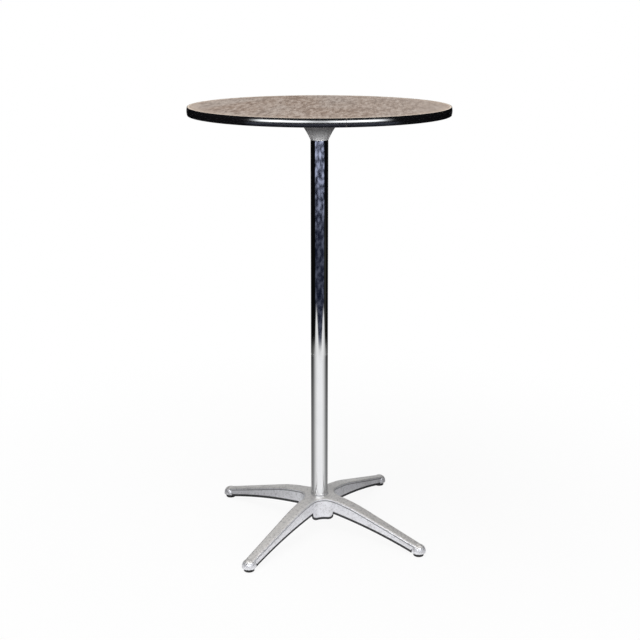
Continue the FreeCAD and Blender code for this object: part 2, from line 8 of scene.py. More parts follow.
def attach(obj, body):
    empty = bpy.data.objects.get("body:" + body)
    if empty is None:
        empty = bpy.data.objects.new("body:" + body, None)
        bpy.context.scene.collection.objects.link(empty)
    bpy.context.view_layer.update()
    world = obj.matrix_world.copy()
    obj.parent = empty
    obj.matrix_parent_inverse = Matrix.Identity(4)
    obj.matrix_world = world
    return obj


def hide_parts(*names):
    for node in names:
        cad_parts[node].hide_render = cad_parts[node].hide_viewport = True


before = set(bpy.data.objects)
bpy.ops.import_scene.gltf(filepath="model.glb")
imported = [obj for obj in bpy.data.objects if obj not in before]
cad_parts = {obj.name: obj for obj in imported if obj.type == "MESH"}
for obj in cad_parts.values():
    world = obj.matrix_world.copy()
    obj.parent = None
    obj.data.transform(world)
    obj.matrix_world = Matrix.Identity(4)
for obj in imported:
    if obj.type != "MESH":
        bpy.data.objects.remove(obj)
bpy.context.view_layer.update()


# ---- Table top ----------------------------------------------------------------------------
# A disc of rotary-cut plywood, sanded, sealed with a thin clear coat and weathered. A saw-cut
# slot runs round its edge for the moulding, and its sanded rim shows as paler bare wood.

# Sizes are in millimetres, but in metres where a finish or the studio uses them.
MM = 0.001
TABLE_HEIGHT = 1067.0
PANEL_RADIUS = 304.8
PANEL_THICKNESS = 19.05
PANEL_UNDER = TABLE_HEIGHT - PANEL_THICKNESS
SLOT_MIDDLE = TABLE_HEIGHT - PANEL_THICKNESS / 2
SLOT_HALF = 1.2
SLOT_FLOOR = 293.8
SLOT_ROUNDING = 0.2
PANEL_TOP_ROUNDING = 0.5
PANEL_UNDER_ROUNDING = 0.6
GRAIN_TURN = 0.25
SANDED_RIM = (0.2680, 0.3020)
BARE_RIM = (0.2998, 0.3012)


def eased(outline, radii, steps=4):
    """The outline with the corners that are numbered in radii rounded off."""
    points = []
    for index, place in enumerate(outline):
        if index not in radii:
            points.append(place)
            continue
        corner, radius = Vector(place), radii[index]
        back = (Vector(outline[index - 1]) - corner).normalized()
        ahead = (Vector(outline[(index + 1) % len(outline)]) - corner).normalized()
        half = back.angle(ahead) / 2
        centre = corner + (back + ahead).normalized() * radius / math.sin(half)
        start = corner + back * radius / math.tan(half) - centre
        end = corner + ahead * radius / math.tan(half) - centre
        first = math.atan2(start.y, start.x)
        turn = (math.atan2(end.y, end.x) - first + math.pi) % math.tau - math.pi
        for step in range(steps + 1):
            angle = first + turn * step / steps
            points.append((centre.x + radius * math.cos(angle), centre.y + radius * math.sin(angle)))
    return points


def add_turned(form, outline, steps, centre=(0, 0)):
    """Turn a closed outline of (radius, height) places round an upright axis."""
    rings = []
    for radius, height in outline:
        if radius < 1e-6:
            rings.append([form.verts.new((centre[0], centre[1], height))] * steps)
            continue
        rings.append([form.verts.new((centre[0] + radius * math.cos(math.tau * step / steps),
                                      centre[1] + radius * math.sin(math.tau * step / steps),
                                      height)) for step in range(steps)])
    for low, high in zip(rings, rings[1:] + rings[:1]):
        for step in range(steps):
            beside = (step + 1) % steps
            corners = list(dict.fromkeys((low[step], low[beside], high[beside], high[step])))
            if len(corners) > 2:
                form.faces.new(corners)


def modified(name, source, kind, settings, inputs=None):
    """The plain mesh that one modifier makes of a source mesh."""
    host = bpy.data.objects.new(name + "_source", source)
    bpy.context.scene.collection.objects.link(host)
    modifier = host.modifiers.new(name, kind)
    for label, setting in settings.items():
        setattr(modifier, label, setting)
    for label, value in (inputs or {}).items():
        modifier[label] = value
    graph = bpy.context.evaluated_depsgraph_get()
    mesh = bpy.data.meshes.new_from_object(host.evaluated_get(graph), depsgraph=graph)
    host.modifiers.remove(modifier)
    bpy.data.objects.remove(host)
    mesh.name = name
    return mesh


def smoothed(name, mesh, crease):
    """Smooth but for edges sharper than crease, with flat faces kept flat beside small rounds."""
    mesh.shade_smooth()
    mesh.set_sharp_from_angle(angle=math.radians(crease))
    return modified(name, mesh, "WEIGHTED_NORMAL", {"keep_sharp": True})


def finished(form, name, crease=32):
    """A smoothed mesh in metres from a form in millimetres."""
    bmesh.ops.recalc_face_normals(form, faces=form.faces)
    bmesh.ops.scale(form, vec=(MM, MM, MM), verts=form.verts)
    mesh = bpy.data.meshes.new(name)
    form.to_mesh(mesh)
    form.free()
    return smoothed(name, mesh, crease)


def turned(name, outline, steps, centre=(0, 0)):
    """A finished mesh turned from one closed outline."""
    form = bmesh.new()
    add_turned(form, outline, steps, centre)
    return finished(form, name)


def fitted(name, mesh, finish, body, slot, *nodes):
    """Set up a finished piece that moves with a body and stands for its CAD nodes."""
    piece = bpy.data.objects.new(name, mesh)
    bpy.context.scene.collection.objects.link(piece)
    if not mesh.materials:
        mesh.materials.append(finish)
    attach(piece, body)
    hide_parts(*nodes)


def feed(tree, node, sockets):
    for name, source in sockets.items():
        if isinstance(source, Wire):
            tree.links.new(source.socket, node.inputs[name])
        else:
            node.inputs[name].default_value = source


class Wire:
    """A node's output. Arithmetic on it adds Math nodes, and node() adds any other kind."""

    def __init__(self, tree, socket=None):
        self.tree = tree
        self.socket = socket

    def node(self, kind, settings=None, sockets=None, output=0):
        made = self.tree.nodes.new(kind)
        for name, setting in (settings or {}).items():
            setattr(made, name, setting)
        feed(self.tree, made, sockets or {})
        return Wire(self.tree, made.outputs[output] if made.outputs else None)

    def out(self, name):
        """Another output of the same node."""
        return Wire(self.tree, self.socket.node.outputs[name])

    def maths(self, operation, *values):
        return self.node("ShaderNodeMath", {"operation": operation}, dict(enumerate(values)))

    def __add__(self, other):
        return self.maths("ADD", self, other)

    def __sub__(self, other):
        return self.maths("SUBTRACT", self, other)

    def __mul__(self, other):
        return self.maths("MULTIPLY", self, other)

    def __rsub__(self, other):
        return self.maths("SUBTRACT", other, self)

    __radd__ = __add__
    __rmul__ = __mul__

    def ramp(self, low, high):
        """0 where this is at or below low, 1 at or above high, smooth between."""
        return self.node("ShaderNodeMapRange", {"interpolation_type": "SMOOTHSTEP"},
                         {0: self, 1: low, 2: high})

    def between(self, first, second):
        """The first colour where this is 0, the second where it is 1."""
        return self.node("ShaderNodeMix", {"data_type": "RGBA"}, {0: self, 6: first, 7: second},
                         output=2)


def new_finish(name):
    """A material, its main shader and the wire that every pattern in it starts from."""
    material = bpy.data.materials.new(name)
    material.use_nodes = True
    return material, material.node_tree.nodes["Principled BSDF"], Wire(material.node_tree)


def grain(place, scale, detail=3.0, stretch=(1, 1, 1), roughness=0.5):
    """Noise on a place, drawn out along the axes whose stretch is small."""
    laid = place.node("ShaderNodeVectorMath", {"operation": "MULTIPLY"}, {0: place, 1: stretch})
    return place.node("ShaderNodeTexNoise", {}, {"Vector": laid, "Scale": scale,
                                                 "Detail": detail, "Roughness": roughness})


def bumped(height, depth, strength=1.0):
    """Normal of a surface whose relief is height, in parts of depth metres."""
    return height.node("ShaderNodeBump", {}, {"Height": height, "Distance": depth,
                                              "Strength": strength})


def plywood_finish():
    material, shader, start = new_finish("sealed_plywood_finish")
    flat = start.node("ShaderNodeTexCoord", output="Object")
    place = start.node("ShaderNodeMapping", {}, {"Vector": flat, "Rotation": (0, 0, GRAIN_TURN)})
    cloud = grain(place, 9, 4, (1, 0.35, 1))
    figure = grain(place, 34, 5, (1, 0.16, 1), 0.62)
    phase = figure * 34 + cloud * 9
    rings = phase.maths("SINE", phase) * 0.5 + 0.5
    pores = grain(place, 900, 2, (1, 0.05, 1)).ramp(0.56, 0.7)
    mottle = grain(place, 100, 5, (1, 0.20, 1), 0.7)
    flecks = grain(place, 230, 2, (1, 0.13, 1)).ramp(0.62, 0.70)
    stain = rings.between((0.29, 0.209, 0.160, 1), (0.40, 0.312, 0.254, 1))
    stain = cloud.ramp(0.4, 0.65).between(stain, (0.41, 0.345, 0.300, 1))
    stain = (mottle.ramp(0.5, 0.64) * 0.85).between(stain, (0.52, 0.440, 0.385, 1))
    stain = (mottle.ramp(0.5, 0.37) * 0.75).between(stain, (0.180, 0.122, 0.092, 1))
    stain = (pores * 0.45).between(stain, (0.15, 0.10, 0.065, 1))
    stain = (flecks * 0.7).between(stain, (0.110, 0.066, 0.045, 1))
    level = flat.node("ShaderNodeVectorMath", {"operation": "MULTIPLY"}, {0: flat, 1: (1, 1, 0)})
    radius = level.node("ShaderNodeVectorMath", {"operation": "LENGTH"}, {0: level}, output="Value")
    across = flat.node("ShaderNodeSeparateXYZ", {}, {0: flat}, output="X")
    # painted light: the panel grows paler towards +X, its right-hand side
    stain = (across.ramp(-0.05, 0.30) * 0.35).between(stain, (0.54, 0.470, 0.420, 1))
    worn = grain(place, 60, 3)
    sanded = (radius + (worn - 0.5) * 0.03).ramp(*SANDED_RIM) * 0.45
    bare = (radius + (worn - 0.5) * 0.0012).ramp(*BARE_RIM)
    stain = sanded.between(stain, (0.56, 0.452, 0.365, 1))
    stain = bare.between(stain, (0.66, 0.555, 0.460, 1))
    relief = rings * 0.25 - pores * 0.6 - flecks * 0.4 + mottle * 0.4
    feed(material.node_tree, shader, {
        "Base Color": stain,
        "Roughness": 0.40 + mottle * 0.16 + bare * 0.2,
        "Normal": bumped(relief, 0.00012, 0.5),
        "IOR": 1.45})
    return material


def panel_outline():
    low, high = SLOT_MIDDLE - SLOT_HALF, SLOT_MIDDLE + SLOT_HALF
    corners = [(0, PANEL_UNDER), (PANEL_RADIUS, PANEL_UNDER), (PANEL_RADIUS, low),
               (SLOT_FLOOR, low), (SLOT_FLOOR, high), (PANEL_RADIUS, high),
               (PANEL_RADIUS, TABLE_HEIGHT), (0, TABLE_HEIGHT)]
    return eased(corners, {1: PANEL_UNDER_ROUNDING, 2: SLOT_ROUNDING, 5: SLOT_ROUNDING,
                           6: PANEL_TOP_ROUNDING})


fitted("plywood_panel", turned("plywood_panel", panel_outline(), steps=192), plywood_finish(),
       "table", "sealed_plywood", "top_panel")


# ---- Edge moulding ------------------------------------------------------------------------
# One strip of glossy black vinyl with a barbed tongue, extruded, bent round the panel with
# its tongue driven into the slot, and cut off square where its two ends meet at the front.

MOULDING_LIP = 0.9
MOULDING_BULGE = 2.2
MOULDING_ROUNDING = 0.4
FACE_STEPS = 16
TONGUE_HALF = 0.8
TONGUE_LENGTH = 9.5
BARB_COUNT = 3
BARB_PITCH = 2.6
BARB_HEIGHT = 0.3
SEAM_GAP = 0.6
MOULDING_STEPS = 240


def bowed(start, end, radius, steps):
    """Places on an arc between two places; a positive radius bulges to the right."""
    start, end = Vector(start), Vector(end)
    chord = end - start
    side = Vector((chord.y, -chord.x)).normalized()
    reach = math.sqrt(radius * radius - chord.length_squared / 4)
    centre = (start + end) / 2 - side * math.copysign(reach, radius)
    first = math.atan2(start.y - centre.y, start.x - centre.x)
    last = math.atan2(end.y - centre.y, end.x - centre.x)
    turn = (last - first + math.pi) % math.tau - math.pi
    return [(centre.x + abs(radius) * math.cos(first + turn * step / steps),
             centre.y + abs(radius) * math.sin(first + turn * step / steps))
            for step in range(steps + 1)]


def moulding_section():
    """Places out from the panel's rim and up from its middle: rounded face, barbed tongue."""
    half, rise = PANEL_THICKNESS / 2, MOULDING_BULGE - MOULDING_LIP
    curve = (half ** 2 + rise ** 2) / (2 * rise)
    face = bowed((MOULDING_LIP, -half), (MOULDING_LIP, half), curve, FACE_STEPS)
    places = eased([(0, -half)] + face + [(0, half)],
                   {1: MOULDING_ROUNDING, FACE_STEPS + 1: MOULDING_ROUNDING}, 3)
    upper = [(0, TONGUE_HALF)]
    for barb in range(BARB_COUNT):
        root = (BARB_COUNT - 1 - barb) * BARB_PITCH - TONGUE_LENGTH
        upper += [(root + BARB_PITCH / 2, TONGUE_HALF), (root, TONGUE_HALF + BARB_HEIGHT)]
        if barb < BARB_COUNT - 1:
            upper.append((root, TONGUE_HALF))
    return places + upper + [(out, -up) for out, up in reversed(upper)]


def new_tree(name, inputs):
    """A geometry tree with a geometry input and output and named inputs between them."""
    tree = bpy.data.node_groups.new(name, "GeometryNodeTree")
    face = tree.interface
    face.new_socket("Geometry", in_out="INPUT", socket_type="NodeSocketGeometry")
    for label, kind in inputs.items():
        face.new_socket(label, in_out="INPUT", socket_type="NodeSocket" + kind)
    face.new_socket("Geometry", in_out="OUTPUT", socket_type="NodeSocketGeometry")
    return tree, Wire(tree).node("NodeGroupInput", output="Geometry")


def raised(shape, height):
    """The shape of a geometry tree moved up by a height."""
    lift = shape.node("ShaderNodeCombineXYZ", {}, {"Z": height})
    return shape.node("GeometryNodeTransform", {}, {"Geometry": shape, "Translation": lift})


def close_tree(shape, entry):
    """End a geometry tree as plain faces with the finish that it was given."""
    real = shape.node("GeometryNodeRealizeInstances", {}, {"Geometry": shape})
    dressed = real.node("GeometryNodeSetMaterial", {}, {"Geometry": real,
                                                        "Material": entry.out("Finish")})
    dressed.node("NodeGroupOutput", {}, {"Geometry": dressed})


def grown(name, source, tree, values, crease=32):
    """The smoothed mesh that a geometry tree makes of a source mesh."""
    inputs = {item.identifier: values[item.name] for item in tree.interface.items_tree
              if item.name in values}
    return smoothed(name, modified(name, source, "NODES", {"node_group": tree}, inputs), crease)


def section_mesh(name, places):
    """A closed line of edges in the XY plane, in metres."""
    mesh = bpy.data.meshes.new(name)
    count = len(places)
    mesh.from_pydata([(x * MM, y * MM, 0) for x, y in places],
                     [(step, (step + 1) % count) for step in range(count)], [])
    return mesh


def moulding_tree():
    """Carries the strip's section round the panel from one side of the seam to the other."""
    tree, entry = new_tree("moulding_round_panel", {
        "Panel Radius": "Float", "Height": "Float", "Seam Angle": "Float", "Steps": "Int",
        "Finish": "Material"})
    section = entry.node("GeometryNodeMeshToCurve", {}, {"Mesh": entry})
    arc = entry.node("GeometryNodeCurveArc", {"mode": "RADIUS"}, {
        "Resolution": entry.out("Steps"), "Radius": entry.out("Panel Radius"),
        "Start Angle": entry.out("Seam Angle") * 0.5 - math.pi / 2,
        "Sweep Angle": math.tau - entry.out("Seam Angle")})
    level = arc.node("GeometryNodeSetCurveNormal", {"mode": "Z_UP"}, {"Curve": arc})
    strip = level.node("GeometryNodeCurveToMesh", {}, {"Curve": level, "Profile Curve": section,
                                                       "Fill Caps": True})
    close_tree(raised(strip, entry.out("Height")), entry)
    return tree


def vinyl_finish():
    material, shader, start = new_finish("black_vinyl_finish")
    place = start.node("ShaderNodeTexCoord", output="Object")
    ripple = grain(place, 14, 2, (1, 1, 3))
    scuff = grain(place, 420, 3, (1, 1, 4)).ramp(0.58, 0.78)
    dust = grain(place, 1300, 2).ramp(0.68, 0.8)
    black = (dust * 0.25).between((0.0055, 0.0055, 0.0065, 1), (0.05, 0.05, 0.052, 1))
    feed(material.node_tree, shader, {
        "Base Color": black,
        "Roughness": 0.10 + scuff * 0.10 + ripple * 0.05,
        "IOR": 2.1,
        "Normal": bumped(ripple, 0.0006, 0.35)})
    return material


moulding = grown("moulding_strip", section_mesh("moulding_section", moulding_section()),
                 moulding_tree(), {
    "Panel Radius": PANEL_RADIUS * MM, "Height": SLOT_MIDDLE * MM,
    "Seam Angle": SEAM_GAP / PANEL_RADIUS, "Steps": MOULDING_STEPS, "Finish": vinyl_finish()})
fitted("moulding_strip", moulding, None, "table", "black_vinyl", "edge_moulding")


# ---- Top hub ------------------------------------------------------------------------------
# A cast aluminium flange and trumpet, sand-blasted and left bare. It is open above, screwed
# to the panel's underside, and its turned spigot plugs into the column's top end.

FLANGE_RADIUS = 84.0
FLANGE_THICKNESS = 5.0
FLANGE_UNDER = PANEL_UNDER - FLANGE_THICKNESS
TRUMPET_ROOT = 58.0
TRUMPET_CURVE = 194.0
CAVITY_MOUTH = 49.0
CAVITY_DEPTH = 40.0
CAVITY_FLOOR = PANEL_UNDER - CAVITY_DEPTH
CAVITY_FLOOR_RADIUS = 18.0
COLUMN_RADIUS = 21.1
HUB_LENGTH = 60.0
COLUMN_TOP = PANEL_UNDER - HUB_LENGTH
SPIGOT_RADIUS = 18.9
SPIGOT_LENGTH = 40.0
SPIGOT_BOTTOM = COLUMN_TOP - SPIGOT_LENGTH
SPIGOT_ROUNDING = 1.0
TRUMPET_FILLET = 4.0
FLANGE_UNDER_ROUNDING = 1.5
FLANGE_TOP_ROUNDING = 0.5
CAVITY_FILLET = 4.0
ROD_THREAD_RADIUS = 4.81
ROD_BORE_ROOF = 8.0
ROD_BORE_TOP = CAVITY_FLOOR - ROD_BORE_ROOF


def cast_finish(name, wall, land):
    """Bare cast aluminium: a fine blasted skin, one tint on walls and another on what faces
    up as a painted reflection, and painted shade from the painted_shade attribute."""
    material, shader, start = new_finish(name)
    place = start.node("ShaderNodeTexCoord", output="Object")
    facing = start.node("ShaderNodeNewGeometry", output="Normal")
    up_facing_for_painted_tint = facing.node("ShaderNodeSeparateXYZ", {}, {0: facing}, output="Z")
    painted_shade = start.node("ShaderNodeAttribute", {"attribute_name": "painted_shade"}, output="Fac")
    speckle = grain(place, 620, 3, roughness=0.7)
    blotch = grain(place, 170, 3, roughness=0.6)
    cloud = grain(place, 38, 4, roughness=0.6)
    pits = grain(place, 300, 2).ramp(0.68, 0.78)
    # painted reflection: faces that look up take the land tint, warmer on the base, and walls the
    # wall tint, cooler
    metal = up_facing_for_painted_tint.ramp(0.55, 0.92).between(wall, land)
    metal = (speckle.ramp(0.45, 0.7) * 0.35).between(metal, (0.97, 0.97, 0.98, 1))
    metal = (speckle.ramp(0.5, 0.3) * 0.4).between(metal, (0.40, 0.395, 0.41, 1))
    metal = (blotch.ramp(0.5, 0.34) * 0.4).between(metal, (0.42, 0.415, 0.42, 1))
    metal = (cloud.ramp(0.52, 0.32) * 0.25).between(metal, (0.50, 0.495, 0.50, 1))
    metal = (pits * 0.5).between(metal, (0.20, 0.19, 0.19, 1))
    # painted shade: the attribute darkens the metal almost to black, less metallic and rougher, in
    # creases, along the rolled lower edge, inside the hollow and under the hub's flange
    metal = (painted_shade * 0.98).between(metal, (0.022, 0.021, 0.023, 1))
    feed(material.node_tree, shader, {
        "Base Color": metal,
        "Metallic": 0.72 - painted_shade * 0.5,
        "Roughness": 0.43 + speckle * 0.16 + painted_shade * 0.25,
        "Normal": bumped(speckle + pits * -1.5 + cloud * 2.0, 0.00009, 0.6)})
    return material


def top_hub_outline():
    """The outside from the spigot up to the flange, then the hollow and the rod's bore."""
    trumpet = bowed((COLUMN_RADIUS, COLUMN_TOP), (TRUMPET_ROOT, FLANGE_UNDER), -TRUMPET_CURVE, 20)
    outline = [(ROD_THREAD_RADIUS, SPIGOT_BOTTOM), (SPIGOT_RADIUS, SPIGOT_BOTTOM),
               (SPIGOT_RADIUS, COLUMN_TOP)] + trumpet
    root = len(outline) - 1
    outline += [(FLANGE_RADIUS, FLANGE_UNDER), (FLANGE_RADIUS, PANEL_UNDER),
                (CAVITY_MOUTH, PANEL_UNDER), (CAVITY_FLOOR_RADIUS, CAVITY_FLOOR),
                (0, CAVITY_FLOOR), (0, ROD_BORE_TOP), (ROD_THREAD_RADIUS, ROD_BORE_TOP)]
    return eased(outline, {1: SPIGOT_ROUNDING, root: TRUMPET_FILLET,
                           root + 1: FLANGE_UNDER_ROUNDING, root + 2: FLANGE_TOP_ROUNDING,
                           root + 4: CAVITY_FILLET}, 6)


def shade_towards_flange(mesh):
    """Set the mesh's painted shade from little at the column to much under the panel."""
    painted_shade = mesh.attributes.new("painted_shade", "FLOAT", "POINT")
    for vertex, level in zip(mesh.vertices, painted_shade.data):
        share = (vertex.co.z / MM - COLUMN_TOP) / (FLANGE_UNDER - COLUMN_TOP)
        level.value = min(0.86, 1.5 * max(0.0, share) ** 0.75)


top_hub = turned("trumpet_hub", top_hub_outline(), steps=128)
# painted shade: the trumpet darkens towards the flange, where the panel shades it
shade_towards_flange(top_hub)
fitted("trumpet_hub", top_hub, cast_finish("trumpet_hub_finish", (0.66, 0.655, 0.66, 1),
                                           (0.66, 0.655, 0.65, 1)),
       "table", "cast_aluminium", "top_hub")


# ---- Hub screws ---------------------------------------------------------------------------
# Six zinc-plated pan-head wood screws with a cross recess, driven up through the flange into
# the panel and left at whatever turn they tightened.

SCREW_COUNT = 6
SCREW_PLACE = 73.0
SCREW_HEAD = 4.7
SCREW_HEAD_HEIGHT = 3.2
SCREW_HEAD_FLAT = 2.6
SCREW_HEAD_RIM = 1.3
SCREW_DOME = 4.7
SCREW_CREST = 2.1
SCREW_ROOT = 1.55
SCREW_PITCH = 1.8
SCREW_LENGTH = 19.0
SCREW_POINT = 4.0
SCREW_TIP = 0.3
SCREW_LAP = 0.5
SCREW_THREAD_START = 1.0
SCREW_THREAD_PROUD = 0.02
CROSS_WIDTH = 0.9
CROSS_LENGTH = 4.6
CROSS_DEPTH = 1.7
SCREW_SEED = 4


def add_thread(form, crest, root, pitch, low, high, steps):
    """A screw thread as one helical band, plain at its ends, with both ends closed."""
    turns = math.ceil((high - low) / pitch) + 1
    rows = []
    for row in range(2 * turns + 1):
        rows.append([])
        for step in range(steps):
            height = low + (row / 2 - 1 + step / steps) * pitch
            inside = low + 1e-6 < height < high - 1e-6
            radius = crest if row % 2 and inside else root
            angle = math.tau * step / steps
            rows[-1].append(form.verts.new((radius * math.cos(angle), radius * math.sin(angle),
                                            min(max(height, low), high))))
    for row in range(len(rows) - 1):
        for step in range(steps - 1):
            form.faces.new((rows[row][step], rows[row][step + 1],
                            rows[row + 1][step + 1], rows[row + 1][step]))
        if row + 3 < len(rows):
            form.faces.new((rows[row][-1], rows[row + 2][0], rows[row + 3][0], rows[row + 1][-1]))
    corners = [vertex for row in rows for vertex in row]
    bmesh.ops.remove_doubles(form, verts=corners, dist=1e-4)
    bmesh.ops.dissolve_degenerate(form, edges=form.edges, dist=1e-4)
    bmesh.ops.holes_fill(form, edges=[edge for edge in form.edges if edge.is_boundary])


def screw_mesh():
    """One screw, point up, with its head's seat at height 0. Its shank reaches into its head."""
    form = bmesh.new()
    dome = bowed((SCREW_HEAD_FLAT, -SCREW_HEAD_HEIGHT), (SCREW_HEAD, -SCREW_HEAD_RIM),
                 SCREW_DOME, 5)
    add_turned(form, [(0, -SCREW_HEAD_HEIGHT)] + dome + [(SCREW_HEAD, 0), (0, 0)], 32)
    tip = SCREW_LENGTH - SCREW_POINT
    add_turned(form, [(0, -SCREW_LAP), (SCREW_ROOT, -SCREW_LAP), (SCREW_ROOT, tip),
                      (SCREW_TIP, SCREW_LENGTH), (0, SCREW_LENGTH)], 16)
    add_thread(form, SCREW_CREST, SCREW_ROOT + SCREW_THREAD_PROUD, SCREW_PITCH,
               SCREW_THREAD_START, tip, 16)
    return finished(form, "wood_screw", crease=40)


def screws_tree():
    """Cuts the cross recess and sets the screws on their ring, each at its own turn."""
    tree, entry = new_tree("screws_on_ring", {
        "Count": "Int", "Ring Radius": "Float", "Height": "Float", "Recess Width": "Float",
        "Recess Length": "Float", "Recess Depth": "Float", "Seed": "Int", "Finish": "Material"})
    width, reach = entry.out("Recess Width"), entry.out("Recess Length")
    depth = entry.out("Recess Depth")
    bars = []
    for sides in ((width, reach), (reach, width)):
        size = entry.node("ShaderNodeCombineXYZ", {}, {"X": sides[0], "Y": sides[1],
                                                       "Z": depth * 2.0})
        bar = entry.node("GeometryNodeMeshCube", {}, {"Size": size}, output="Mesh")
        bars.append(raised(bar, -SCREW_HEAD_HEIGHT * MM))
    screw = entry
    for bar in bars:
        screw = screw.node("GeometryNodeMeshBoolean", {"operation": "DIFFERENCE",
                                                       "solver": "EXACT"},
                           {"Mesh 1": screw, "Mesh 2": bar}, output="Mesh")
    ring = entry.node("GeometryNodeMeshCircle", {}, {"Vertices": entry.out("Count"),
                                                     "Radius": entry.out("Ring Radius")})
    turn = entry.node("FunctionNodeRandomValue", {"data_type": "FLOAT"},
                      {2: 0.0, 3: math.tau, "Seed": entry.out("Seed")}, output=1)
    spin = entry.node("ShaderNodeCombineXYZ", {}, {"Z": turn})
    screws = ring.node("GeometryNodeInstanceOnPoints", {}, {"Points": ring, "Instance": screw,
                                                            "Rotation": spin})
    close_tree(raised(screws, entry.out("Height")), entry)
    return tree


def zinc_finish():
    """Bright zinc plating: silvery with faint blue and yellow passivation clouds."""
    material, shader, start = new_finish("zinc_plated_finish")
    place = start.node("ShaderNodeTexCoord", output="Object")
    cloud = grain(place, 90, 3)
    fine = grain(place, 1500, 2)
    metal = cloud.ramp(0.35, 0.65).between((0.58, 0.60, 0.64, 1), (0.66, 0.64, 0.57, 1))
    metal = (fine.ramp(0.6, 0.75) * 0.4).between(metal, (0.36, 0.35, 0.33, 1))
    feed(material.node_tree, shader, {
        "Base Color": metal, "Metallic": 1.0, "Roughness": 0.27 + fine * 0.14,
        "Normal": bumped(fine, 0.00003, 0.5)})
    return material


zinc_plating = zinc_finish()
screws = grown("wood_screws", screw_mesh(), screws_tree(), {
    "Count": SCREW_COUNT, "Ring Radius": SCREW_PLACE * MM, "Height": FLANGE_UNDER * MM,
    "Recess Width": CROSS_WIDTH * MM, "Recess Length": CROSS_LENGTH * MM,
    "Recess Depth": CROSS_DEPTH * MM, "Seed": SCREW_SEED, "Finish": zinc_plating}, crease=40)
fitted("wood_screws", screws, None, "table", "zinc_plated_steel", "hub_screws")


# ---- Tie rod and its nuts and washers -----------------------------------------------------
# A rolled-thread rod, screwed up into the hub and locked by a thin nut, pulls hub, column
# and base together. Below, a flat washer, a spring washer and a nut sit in the base's recess.

ROD_PITCH = 1.5875


def rolled_thread_finish():
    """The plating of the nuts, with the rod's thread as relief that winds round its axis."""
    material, shader, start = new_finish("rolled_thread_finish")
    place = start.node("ShaderNodeTexCoord", output="Object")
    across = place.node("ShaderNodeSeparateXYZ", {}, {0: place}, output="X")
    angle = across.maths("ARCTAN2", across.out("Y"), across)
    phase = across.out("Z") * (math.tau / (ROD_PITCH * MM)) - angle
    wave = phase.maths("SINE", phase)
    cloud = grain(place, 70, 3)
    metal = cloud.ramp(0.35, 0.7).between((0.55, 0.57, 0.61, 1), (0.64, 0.62, 0.55, 1))
    # painted shade: the thread's grooves are darker
    metal = wave.ramp(-0.2, -1.0).between(metal, (0.20, 0.20, 0.20, 1))
    feed(material.node_tree, shader, {
        "Base Color": metal, "Metallic": 1.0, "Roughness": 0.30 + cloud * 0.12,
        "Normal": bumped(wave, 0.00035)})
    return material


def refinish(node, finish):
    """Give a CAD node a finish of its own in place of its plain one."""
    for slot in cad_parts[node].material_slots:
        slot.material = finish


refinish("tie_rod", rolled_thread_finish())
for node in ("rod_jam_nut", "clamp_washer", "lock_washer", "clamp_nut"):
    refinish(node, zinc_plating)


# ---- Column -------------------------------------------------------------------------------
# A length of welded steel tube, polished and chromed bright. It stands in the base's socket
# and the top hub's spigot closes its upper end.

COLUMN_WALL = 2.0
COLUMN_BOTTOM = 76.0
TUBE_INSIDE_ROUNDING = 0.3
TUBE_OUTSIDE_ROUNDING = 0.5


def chrome_finish():
    """Mirror chrome with faint polishing lines along the tube and a breath of haze."""
    material, shader, start = new_finish("chromed_tube_finish")
    place = start.node("ShaderNodeTexCoord", output="Object")
    lines = grain(place, 700, 2, (1, 1, 0.01))
    haze = grain(place, 26, 4, (1, 1, 0.45), 0.6)
    specks = grain(place, 900, 2).ramp(0.70, 0.8)
    metal = (haze.ramp(0.4, 0.75) * 0.4).between((0.830, 0.835, 0.850, 1), (0.72, 0.73, 0.76, 1))
    feed(material.node_tree, shader, {
        "Base Color": metal, "Metallic": 1.0,
        "Roughness": 0.045 + haze.ramp(0.45, 0.8) * 0.05 + specks * 0.12,
        "Normal": bumped(lines * 0.5 + haze * 3.0, 0.00004, 0.5)})
    return material


def column_outline():
    inside = COLUMN_RADIUS - COLUMN_WALL
    corners = [(inside, COLUMN_BOTTOM), (COLUMN_RADIUS, COLUMN_BOTTOM),
               (COLUMN_RADIUS, COLUMN_TOP), (inside, COLUMN_TOP)]
    return eased(corners, {0: TUBE_INSIDE_ROUNDING, 1: TUBE_OUTSIDE_ROUNDING,
                           2: TUBE_OUTSIDE_ROUNDING, 3: TUBE_INSIDE_ROUNDING}, 3)


fitted("column", turned("column", column_outline(), steps=128), chrome_finish(),
       "table", "chromed_tube", "column_tube")


# ---- Base casting -------------------------------------------------------------------------
# One hollow aluminium casting: four legs with rounded lands along their tops, upright walls
# with a rolled lower edge, a boss with the column's socket, and a domed knob at each tip.

HUB_TOP = 88.0
HUB_FLAT = 20.0
CROWN_RUN = 111.0
LEG_SLOPE = 0.287
ROOT_HALF = 18.4
TIP_HALF = 11.8
TAPER_RUN = 295.0
LEG_TAPER = (ROOT_HALF - TIP_HALF) / TAPER_RUN
CROTCH = 37.0
LEG_WALL = 4.0
LEG_WEB = 5.0
TIP_WEB = 1.2
UNDER_ROOT = 51.0
UNDER_TIP = 6.0
UNDER_CURVE = 1250.0
LEG_FOOT = 279.8
LEG_STOP = 293.0
SHOULDER_WIDTH = 5.0
SHOULDER_DROP = 3.6
CREASE = 1.1
CREASE_START = 0.6
CREASE_MIDDLE = 2.2
CREASE_END = 3.4
LIP = 2.0
LIP_SHADE = 4.8
SHADE_FADE = 0.8
SKIRT_BOTTOM = 31.0
SKIRT_HALF = 25.5
SKIRT_ROUNDING = 13.0
SOCKET_MOUTH = 22.3
SOCKET_RADIUS = 21.3
SOCKET_BEVEL = 1.0
BOSS_RADIUS = 26.0
BOSS_BOTTOM = 25.0
BOSS_ROUNDING = 7.0
RECESS_RADIUS = 15.0
RECESS_TOP = 43.0
RECESS_ROUNDING = 0.6
